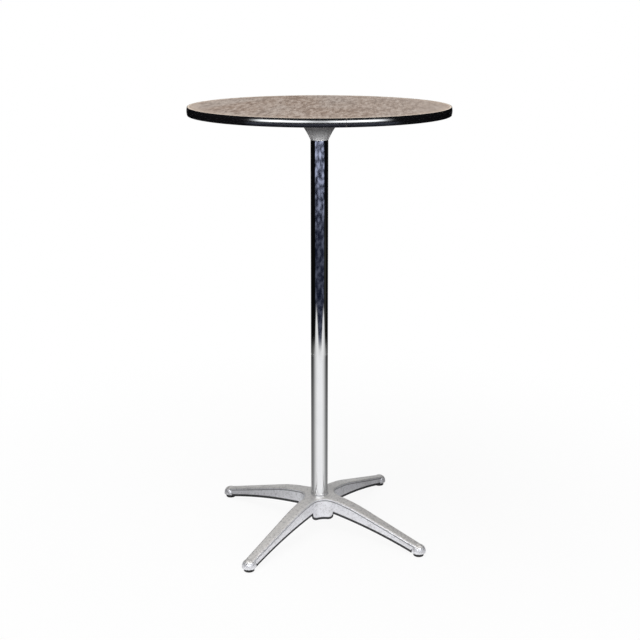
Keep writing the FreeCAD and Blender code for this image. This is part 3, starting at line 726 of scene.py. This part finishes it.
ROD_ROOM = 5.5
GLIDE_PLACE = 294.0
KNOB_RADIUS = 17.46
KNOB_BOTTOM = 8.6
KNOB_TOP = 27.6
KNOB_ROUNDING = 16.0
KNOB_UNDER_ROUNDING = 1.2
BUSH_RADIUS = 6.96
BUSH_TOP = 21.1
STUD_ROOM_RADIUS = 4.2
STUD_ROOM_TOP = 22.6
LEG_STEPS = 44
TIP_STEPS = 3
CROTCH_STEPS = 20
LAND_STEPS = 6
SHOULDER_STEPS = 6
WALL_STEPS = 4
LIP_STEPS = 8
ROOF_STEPS = 4
WELD_DISTANCE = 0.003


def crown_height(reach):
    """Height of the legs' top line at a distance from the axis: level, curved, then sloped."""
    curve = CROWN_RUN * math.hypot(1, LEG_SLOPE) / LEG_SLOPE
    run = reach - HUB_FLAT
    if run <= 0:
        return HUB_TOP
    if run < CROWN_RUN:
        return HUB_TOP - curve + math.sqrt(curve ** 2 - run ** 2)
    drop = curve * (1 - 1 / math.hypot(1, LEG_SLOPE))
    return HUB_TOP - drop - LEG_SLOPE * (run - CROWN_RUN)


def under_height(reach):
    """Height of the legs' arched lower edge."""
    start, end = Vector((BOSS_RADIUS, UNDER_ROOT)), Vector((LEG_FOOT, UNDER_TIP))
    chord = end - start
    depth = math.sqrt(UNDER_CURVE ** 2 - chord.length_squared / 4)
    centre = (start + end) / 2 + Vector((chord.y, -chord.x)).normalized() * depth
    return centre.y + math.sqrt(UNDER_CURVE ** 2 - (reach - centre.x) ** 2)


def skirt_height(reach, beside):
    """Lower edge of the wall, which runs on down near the middle of each crotch."""
    if beside >= SKIRT_HALF:
        return under_height(reach)
    past = max(0.0, beside - (SKIRT_HALF - SKIRT_ROUNDING))
    return SKIRT_BOTTOM + SKIRT_ROUNDING - math.sqrt(SKIRT_ROUNDING ** 2 - past ** 2)


def casting_stations():
    """Along one side of a leg and round half a crotch: inner place, rim, inward way, boss,
    lower edge, web. Inside the knob the leg stops level with the knob's underside, and its
    thin web stays clear of the stud."""
    lean = math.hypot(1, LEG_TAPER)
    middle = (ROOT_HALF + CROTCH * lean) / (1 + LEG_TAPER)
    inward = Vector((-LEG_TAPER, -1)) / lean
    crotch_start = middle + CROTCH * inward.x
    stations = []
    outs = [(LEG_STOP + (LEG_FOOT - LEG_STOP) * step / TIP_STEPS, KNOB_BOTTOM, TIP_WEB)
            for step in range(TIP_STEPS + 1)]
    for step in range(LEG_STEPS + 1):
        out = LEG_FOOT + (crotch_start - LEG_FOOT) * step / LEG_STEPS
        outs.append((out, under_height(out), LEG_WEB))
    for out, low, web in outs:
        share = (LEG_STOP - out) / (LEG_STOP - crotch_start)
        stations.append((Vector((LEG_STOP + (SOCKET_MOUTH - LEG_STOP) * share, 0)),
                         Vector((out, ROOT_HALF - LEG_TAPER * out)), inward,
                         Vector((LEG_STOP + (BOSS_RADIUS - LEG_STOP) * share, 0)), low, web))
    outward, back = math.radians(45), math.radians(225)
    first = math.atan2(inward.y, inward.x) % math.tau
    for step in range(1, CROTCH_STEPS + 1):
        share = step / CROTCH_STEPS
        turn = first + (back - first) * share
        way = Vector((math.cos(turn), math.sin(turn)))
        ray = Vector((math.cos(outward * share), math.sin(outward * share)))
        rim = Vector((middle, middle)) + way * CROTCH
        beside = abs(CROTCH * math.sin(turn - back))
        stations.append((ray * SOCKET_MOUTH, rim, way, ray * BOSS_RADIUS,
                         skirt_height(rim.length, beside), LEG_WEB))
    return stations


def casting_section(inner, rim, inward, boss, low, web):
    """One section of the casting, from its top, over the shoulder, round the lip and back
    up inside to the boss, as (place, height, painted shade)."""
    section = []
    shoulder = rim + inward * SHOULDER_WIDTH
    for step in range(LAND_STEPS + 1):
        place = inner.lerp(shoulder, step / LAND_STEPS)
        section.append((place, crown_height(place.length), 0.0))
    land = crown_height(shoulder.length)
    for step in range(1, SHOULDER_STEPS + 1):
        angle = math.radians(90) * step / SHOULDER_STEPS
        section.append((rim + inward * SHOULDER_WIDTH * (1 - math.sin(angle)),
                        land - SHOULDER_DROP * (1 - math.cos(angle)), 0.0))
    crease = land - SHOULDER_DROP
    # painted shade in the crease under the shoulder
    section.append((rim + inward * CREASE * 0.7, crease - CREASE_START, 0.8))
    section.append((rim + inward * CREASE, crease - CREASE_MIDDLE, 0.85))
    section.append((rim + inward * CREASE * 0.8, crease - CREASE_END, 0.0))
    wall_foot = low + LIP + LIP_SHADE
    for step in range(1, WALL_STEPS + 1):
        height = (crease - CREASE_END
                  + (wall_foot + SHADE_FADE - crease + CREASE_END) * step / WALL_STEPS)
        section.append((rim + inward * CREASE * (0.8 - step / (WALL_STEPS + 1)), height, 0.0))
    # painted shade along the lower wall and round the rolled lip
    section.append((rim, wall_foot, 1.0))
    for step in range(LIP_STEPS + 1):
        angle = math.pi * step / LIP_STEPS
        section.append((rim + inward * LIP * (1 - math.cos(angle)),
                        low + LIP * (1 - math.sin(angle)), 1.0))
    wall = rim + inward * LEG_WALL
    ceiling = crown_height(wall.length) - web
    # painted shade inside the hollow and under its roof
    section.append((wall, (low + LIP + ceiling) / 2, 0.6))
    for step in range(ROOF_STEPS + 1):
        place = wall.lerp(boss, step / ROOF_STEPS)
        section.append((place, crown_height(place.length) - web, 0.5))
    return section


def add_casting_skin(form):
    """The thin-walled legs and crotches: eight like pieces, every second one mirrored."""
    painted_shade = form.verts.layers.float.new("painted_shade")
    sections = [casting_section(*station) for station in casting_stations()]
    for piece in range(8):
        turn = Matrix.Rotation(math.radians(45 + 90 * (piece // 2)), 2)
        flip = 1 if piece % 2 else -1
        grid = []
        for section in sections:
            grid.append([])
            for place, height, painted_shade_level in section:
                spot = turn @ Vector((place.x, flip * place.y))
                vertex = form.verts.new((spot.x, spot.y, height))
                vertex[painted_shade] = painted_shade_level
                grid[-1].append(vertex)
        for here, there in zip(grid, grid[1:]):
            for step in range(len(here) - 1):
                form.faces.new((here[step], there[step], there[step + 1], here[step + 1]))


def hub_core_outline():
    """The boss that hangs inside the crotches, with the socket, rod hole and nut recess."""
    outline = [(BOSS_RADIUS, crown_height(BOSS_RADIUS) - LEG_WEB), (BOSS_RADIUS, BOSS_BOTTOM),
               (RECESS_RADIUS, BOSS_BOTTOM), (RECESS_RADIUS, RECESS_TOP), (ROD_ROOM, RECESS_TOP),
               (ROD_ROOM, COLUMN_BOTTOM), (SOCKET_RADIUS, COLUMN_BOTTOM),
               (SOCKET_RADIUS, HUB_TOP - SOCKET_BEVEL),
               (SOCKET_MOUTH, crown_height(SOCKET_MOUTH))]
    return eased(outline, {1: BOSS_ROUNDING, 2: RECESS_ROUNDING}, 6)


def add_hub_core(form):
    """The core is turned open, and its two end rings meet the skin's inner edges."""
    steps = 8 * CROTCH_STEPS
    rings = []
    for radius, height in hub_core_outline():
        rings.append([form.verts.new((radius * math.cos(math.tau * step / steps),
                                      radius * math.sin(math.tau * step / steps), height))
                      for step in range(steps)])
    for low, high in zip(rings, rings[1:]):
        for step in range(steps):
            beside = (step + 1) % steps
            form.faces.new((low[step], low[beside], high[beside], high[step]))


def knob_outline():
    """Domed knob with the hole for the threaded bush and room above it for the stud."""
    outline = [(BUSH_RADIUS, KNOB_BOTTOM), (KNOB_RADIUS, KNOB_BOTTOM), (KNOB_RADIUS, KNOB_TOP),
               (0, KNOB_TOP), (0, STUD_ROOM_TOP), (STUD_ROOM_RADIUS, STUD_ROOM_TOP),
               (STUD_ROOM_RADIUS, BUSH_TOP), (BUSH_RADIUS, BUSH_TOP)]
    return eased(outline, {1: KNOB_UNDER_ROUNDING, 2: KNOB_ROUNDING}, 12)


def base_casting_mesh():
    form = bmesh.new()
    add_casting_skin(form)
    add_hub_core(form)
    bmesh.ops.remove_doubles(form, verts=form.verts, dist=WELD_DISTANCE)
    bmesh.ops.holes_fill(form, edges=[edge for edge in form.edges if edge.is_boundary])
    for corner in range(4):
        angle = math.radians(45 + 90 * corner)
        add_turned(form, knob_outline(), 48,
                   (GLIDE_PLACE * math.cos(angle), GLIDE_PLACE * math.sin(angle)))
    return finished(form, "star_base", crease=38)


fitted("star_base", base_casting_mesh(),
       cast_finish("star_base_finish", (0.91, 0.91, 0.95, 1), (0.93, 0.908, 0.88, 1)),
       "table", "cast_aluminium", "base_casting")


# ---- Levelling glides ---------------------------------------------------------------------
# A threaded steel bush is pressed into each knob. The plated stud in it has a hex collar for
# a spanner, and its flange is snapped into a black nylon foot in which it turns.

CORNERS = {"front_left": (-1, -1), "front_right": (1, -1),
           "back_left": (-1, 1), "back_right": (1, 1)}
FOOT_RADIUS = 12.7
FOOT_TOP = 5.8
FOOT_ROUNDING = 1.3
FOOT_UNDER_ROUNDING = 0.7
FOOT_MOUTH = 3.1
MOUTH_ROUNDING = 0.3
FOOT_FLOOR = 2.0
SWIVEL_ROOM = 5.8
SWIVEL_ROOM_TOP = 4.1
SWIVEL_RADIUS = 5.5
SWIVEL_BOTTOM = 2.15
SWIVEL_TOP = 3.95
SWIVEL_ROUNDING = 0.3
NECK_RADIUS = 3.0
COLLAR_FLATS = 12.7
COLLAR_BOTTOM = 6.0
COLLAR_TOP = 7.6
COLLAR_BEVEL_IN = 0.5
COLLAR_BEVEL_UP = 0.3
PIECES_LAP = 0.2
STUD_CREST = 4.0
STUD_ROOT = 3.35
STUD_PITCH = 1.25
STUD_TOP = 20.6


def nylon_finish():
    """Black moulded nylon: a fine spark-eroded grain, greyed by scuffs near the floor."""
    material, shader, start = new_finish("black_nylon_finish")
    place = start.node("ShaderNodeTexCoord", output="Object")
    height = place.node("ShaderNodeSeparateXYZ", {}, {0: place}, output="Z")
    texture = grain(place, 1400, 3)
    scuff = grain(place, 260, 4).ramp(0.5, 0.75) * height.ramp(0.006, 0.0)
    black = (scuff * 0.8).between((0.010, 0.010, 0.011, 1), (0.085, 0.082, 0.078, 1))
    feed(material.node_tree, shader, {
        "Base Color": black, "Roughness": 0.42 + texture * 0.14 + scuff * 0.2,
        "Normal": bumped(texture, 0.00004, 0.7)})
    return material


def foot_outline():
    outline = [(0, 0), (FOOT_RADIUS, 0), (FOOT_RADIUS, FOOT_TOP), (FOOT_MOUTH, FOOT_TOP),
               (FOOT_MOUTH, SWIVEL_ROOM_TOP), (SWIVEL_ROOM, SWIVEL_ROOM_TOP),
               (SWIVEL_ROOM, FOOT_FLOOR), (0, FOOT_FLOOR)]
    return eased(outline, {1: FOOT_UNDER_ROUNDING, 2: FOOT_ROUNDING, 3: MOUTH_ROUNDING}, 5)


def stud_mesh(name, centre):
    """Swivel flange and neck, hex collar with its corners eased, and the rolled thread."""
    form = bmesh.new()
    neck_top = COLLAR_BOTTOM + PIECES_LAP
    swivel = [(0, SWIVEL_BOTTOM), (SWIVEL_RADIUS, SWIVEL_BOTTOM), (SWIVEL_RADIUS, SWIVEL_TOP),
              (NECK_RADIUS, SWIVEL_TOP), (NECK_RADIUS, neck_top), (0, neck_top)]
    add_turned(form, eased(swivel, {1: SWIVEL_ROUNDING, 2: SWIVEL_ROUNDING}, 2), 32)
    outside = COLLAR_FLATS / math.sqrt(3)
    inside = outside - COLLAR_BEVEL_IN
    add_turned(form, [(0, COLLAR_BOTTOM), (inside, COLLAR_BOTTOM),
                      (outside, COLLAR_BOTTOM + COLLAR_BEVEL_UP),
                      (outside, COLLAR_TOP - COLLAR_BEVEL_UP),
                      (inside, COLLAR_TOP), (0, COLLAR_TOP)], 6)
    add_thread(form, STUD_CREST, STUD_ROOT, STUD_PITCH, COLLAR_TOP - PIECES_LAP, STUD_TOP, 24)
    bmesh.ops.translate(form, vec=(*centre, 0), verts=form.verts)
    return finished(form, name, crease=40)


black_nylon = nylon_finish()
for corner, (right, back) in CORNERS.items():
    centre = (right * GLIDE_PLACE * math.sqrt(0.5), back * GLIDE_PLACE * math.sqrt(0.5))
    fitted("nylon_foot_" + corner, turned("nylon_foot_" + corner, foot_outline(), 64, centre),
           black_nylon, "pad_" + corner, "black_nylon", "glide_pad_" + corner)
    fitted("glide_screw_" + corner, stud_mesh("glide_screw_" + corner, centre), zinc_plating,
           "stud_" + corner, "zinc_plated_steel", "glide_stud_" + corner)
    refinish("glide_insert_" + corner, zinc_plating)


# ---- Studio -------------------------------------------------------------------------------
# A white floor, which stays under a foot as the glides are set, and soft lamps. Reflections
# alone see glowing sheets of painted reflection: a dark room with bright spots, a highlight
# panel, a grey wall and two mats.

CAMERA_PLACE = (-0.4613, -2.5107, 1.2854)
CAMERA_AZIMUTH = -10.41
CAMERA_PITCH = 73.91
CAMERA_LENS = 60.953
CAMERA_SHIFT = 0.0009
DRAPE_RADIUS = 1.45
DRAPE_TOP = 2.1
ROOM_TOP = 0.86
SHEET_GAP = 0.01
WALL_RADIUS = DRAPE_RADIUS - SHEET_GAP
GLOW_RADIUS = DRAPE_RADIUS - 2 * SHEET_GAP
MAT_INSIDE = 0.16
MAT_HEIGHT = 0.002
FLOOR_RADIUS = 12.0


def seen_as_background(start):
    """1 for rays from the camera and from mirrors and glass, 0 for light on the object."""
    seen = start.node("ShaderNodeLightPath", output="Is Camera Ray")
    seen = seen + seen.out("Is Glossy Ray") + seen.out("Is Transmission Ray")
    return seen.node("ShaderNodeClamp", {}, {0: seen})


def emit(start, colour, strength):
    return start.node("ShaderNodeEmission", {}, {"Color": colour, "Strength": strength})


def floor_finish():
    """Pale paper that shows as white, with the shade of the object left on it."""
    material, shader, start = new_finish("studio_floor")
    feed(material.node_tree, shader, {"Base Color": (0.86, 0.86, 0.86, 1), "Roughness": 0.9,
                                      "Specular IOR Level": 0.0})
    place = start.node("ShaderNodeTexCoord", output="Object")
    away = start.node("ShaderNodeVectorMath", {"operation": "LENGTH"}, {0: place}, output="Value")
    share = seen_as_background(start) * (0.91 + away.ramp(0.5, 1.6) * 0.09)
    white = emit(start, (1, 1, 1, 1), 1.0)
    mix = start.node("ShaderNodeMixShader", {}, {0: share, 2: white})
    material.node_tree.links.new(shader.outputs[0], mix.socket.node.inputs[1])
    feed(material.node_tree, material.node_tree.nodes["Material Output"], {"Surface": mix})
    return material


def stage_piece(name, mesh, finish):
    piece = bpy.data.objects.new(name, mesh)
    bpy.context.scene.collection.objects.link(piece)
    mesh.materials.append(finish)
    return piece


def floor():
    form = bmesh.new()
    bmesh.ops.create_circle(form, cap_ends=True, radius=FLOOR_RADIUS, segments=64)
    mesh = bpy.data.meshes.new("studio_floor")
    form.to_mesh(mesh)
    form.free()
    return stage_piece("studio_floor", mesh, floor_finish())


def reflected(name, first, last, foot, head, finish):
    """A curved sheet that only reflections see, between two azimuths in degrees from the
    camera's side and two (radius, height) edges. Its UV map runs from first to last and from
    foot to head."""
    form = bmesh.new()
    unwrap = form.loops.layers.uv.new("UVMap")
    columns = 96
    rows = []
    for column in range(columns + 1):
        angle = math.radians(CAMERA_AZIMUTH + first + (last - first) * column / columns)
        rows.append([form.verts.new((radius * math.sin(angle), -radius * math.cos(angle), height))
                     for radius, height in (foot, head)])
    for column in range(columns):
        face = form.faces.new((rows[column][0], rows[column + 1][0],
                               rows[column + 1][1], rows[column][1]))
        for loop, (along, up) in zip(face.loops, ((column, 0), (column + 1, 0),
                                                  (column + 1, 1), (column, 1))):
            loop[unwrap].uv = (along / columns, up)
    mesh = bpy.data.meshes.new(name)
    form.to_mesh(mesh)
    form.free()
    piece = stage_piece(name, mesh, finish)
    piece.visible_camera = False
    piece.visible_diffuse = False
    piece.visible_transmission = False
    piece.visible_shadow = False


def emitting(name, paint):
    """A material that only glows, with the colour and strength that paint() gives."""
    material, shader, start = new_finish(name)
    material.node_tree.nodes.remove(shader)
    spot = start.node("ShaderNodeUVMap")
    along = spot.node("ShaderNodeSeparateXYZ", {}, {0: spot}, output="X")
    colour, strength = paint(along, along.out("Y"))
    feed(material.node_tree, material.node_tree.nodes["Material Output"],
         {"Surface": emit(start, colour, strength)})
    return material


def painted_room_reflection(along, up):
    """A painted reflection: black, with a painted glow of floor light at its foot. Through its
    gap on the camera's side shows a painted dim room with small painted bright spots."""
    side = along * 360.0 - 180.0
    height = up * DRAPE_TOP
    blots = grain(along.node("ShaderNodeUVMap"), 1, 3, (7, 130, 1), 0.6)
    # painted reflection: bluish bright spots of a room, brighter higher up
    painted_bright_spots = blots.ramp(0.48, 0.60) * (0.14 + height.ramp(0.42, 0.80) * 0.80)
    room = painted_bright_spots.between((0.006, 0.008, 0.020, 1), (0.66, 0.72, 0.97, 1))
    gap = side.ramp(-62.0, -50.0) * side.ramp(68.0, 58.0) * height.ramp(ROOM_TOP, ROOM_TOP - 0.02)
    painted_dark_room = gap.between((0.003, 0.003, 0.003, 1), room)
    # painted reflection: a faint olive band to one side
    painted_olive_band = side.ramp(64.0, 74.0) * side.ramp(100.0, 84.0) * height.ramp(0.65, 0.35)
    painted_dark_room = (painted_olive_band * 0.5).between(painted_dark_room, (0.065, 0.065, 0.050, 1))
    aside = (side - 8.0).maths("ABSOLUTE", side - 8.0)
    wedge = aside.ramp(14.0, 46.0) * aside.ramp(74.0, 52.0) * 0.14
    # painted light: the sheet's foot glows white in front and grey at the sides, as if the floor
    # went on
    floor_glow_mask = (height - wedge).ramp(0.075, 0.0)
    painted_floor_glow = aside.ramp(108.0, 32.0).between((0.09, 0.09, 0.085, 1), (0.93, 0.93, 0.92, 1))
    return floor_glow_mask.between(painted_dark_room, painted_floor_glow), 1.0


def painted_highlight_panel(along, up):
    """A painted highlight: a cool glow, dimmer in its middle where the panel's two halves meet."""
    edge = along.ramp(0.0, 0.16) * along.ramp(1.0, 0.84) * up.ramp(0.0, 0.4) * up.ramp(1.0, 0.6)
    middle = along.ramp(0.30, 0.5) * along.ramp(0.66, 0.5)
    return (0.955, 0.98, 1.0, 1), edge * (1.0 - middle * 0.6) * 12.0


def painted_grey_wall_reflection(along, up):
    """A painted reflection: plain grey that fades to black at both ends and darkens upwards."""
    edge = along.ramp(0.0, 0.3) * along.ramp(1.0, 0.7)
    return (0.55, 0.56, 0.58, 1), edge * (1.0 - up * 0.6)


def painted_grey_mat_reflection(along, up):
    """Painted reflection: white at its edges, like the floor, and grey between, darker further out.
    """
    edge = along.ramp(0.0, 0.55) * along.ramp(1.0, 0.9)
    return (1, 1, 0.99, 1), 0.93 - edge * (0.68 + up * 0.20)


def lamp(name, place, aim, size, power):
    """A soft rectangular lamp that reflections don't show."""
    data = bpy.data.lights.new(name, "AREA")
    data.shape = "RECTANGLE"
    data.size, data.size_y = size
    data.energy = power
    piece = bpy.data.objects.new(name, data)
    bpy.context.scene.collection.objects.link(piece)
    piece.location = place
    piece.rotation_euler = (Vector(aim) - Vector(place)).to_track_quat("-Z", "Y").to_euler()
    piece.visible_glossy = False


def surroundings():
    """White all round for the camera and for mirrors, a soft even grey light for the rest."""
    world = bpy.data.worlds.new("studio_air")
    bpy.context.scene.world = world
    world.use_nodes = True
    start = Wire(world.node_tree)
    feed(world.node_tree, world.node_tree.nodes["Background"], {
        "Color": (1, 1, 1, 1), "Strength": 0.46 + seen_as_background(start) * 0.54})


def camera():
    data = bpy.data.cameras.new("camera")
    data.lens = CAMERA_LENS
    data.sensor_width = 36.0
    data.shift_x = CAMERA_SHIFT
    data.clip_end = 60.0
    piece = bpy.data.objects.new("camera", data)
    bpy.context.scene.collection.objects.link(piece)
    piece.location = CAMERA_PLACE
    piece.rotation_euler = (math.radians(CAMERA_PITCH), 0, math.radians(CAMERA_AZIMUTH))
    bpy.context.scene.camera = piece


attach(floor(), "pad_front_left")
# painted reflection: a glowing sheet all round that only reflections see
reflected("studio_room_reflection", first=-180, last=180, foot=(DRAPE_RADIUS, 0.0),
          head=(DRAPE_RADIUS, DRAPE_TOP), finish=emitting("painted_room_reflection", painted_room_reflection))
# painted highlight: a glowing card that only reflections see, lighting the moulding's rounded face
reflected("studio_highlight_panel", first=-56, last=58, foot=(GLOW_RADIUS, 0.94),
          head=(GLOW_RADIUS, 1.31), finish=emitting("painted_highlight_panel", painted_highlight_panel))
# painted reflections: a grey wall behind and two grey mats on the floor, seen only in reflections
reflected("studio_wall_reflection", first=145, last=215, foot=(WALL_RADIUS, 0.0),
          head=(WALL_RADIUS, 1.40), finish=emitting("painted_grey_wall_reflection", painted_grey_wall_reflection))
mat_reflection_finish = emitting("painted_grey_mat_reflection", painted_grey_mat_reflection)
for name, first, last in (("left", -26, -164), ("right", 36, 168)):
    reflected("studio_mat_reflection_" + name, first, last, foot=(MAT_INSIDE, MAT_HEIGHT),
              head=(WALL_RADIUS, MAT_HEIGHT), finish=mat_reflection_finish)
lamp("overhead", place=(-0.9, -0.8, 4.6), aim=(0, 0, 0.6), size=(2.6, 2.6), power=100)
lamp("front_fill", place=(-1.2, -3.4, 1.9), aim=(0, 0, 0.5), size=(2.2, 1.4), power=42)
surroundings()
camera()
bpy.context.scene.view_settings.view_transform = "Standard"
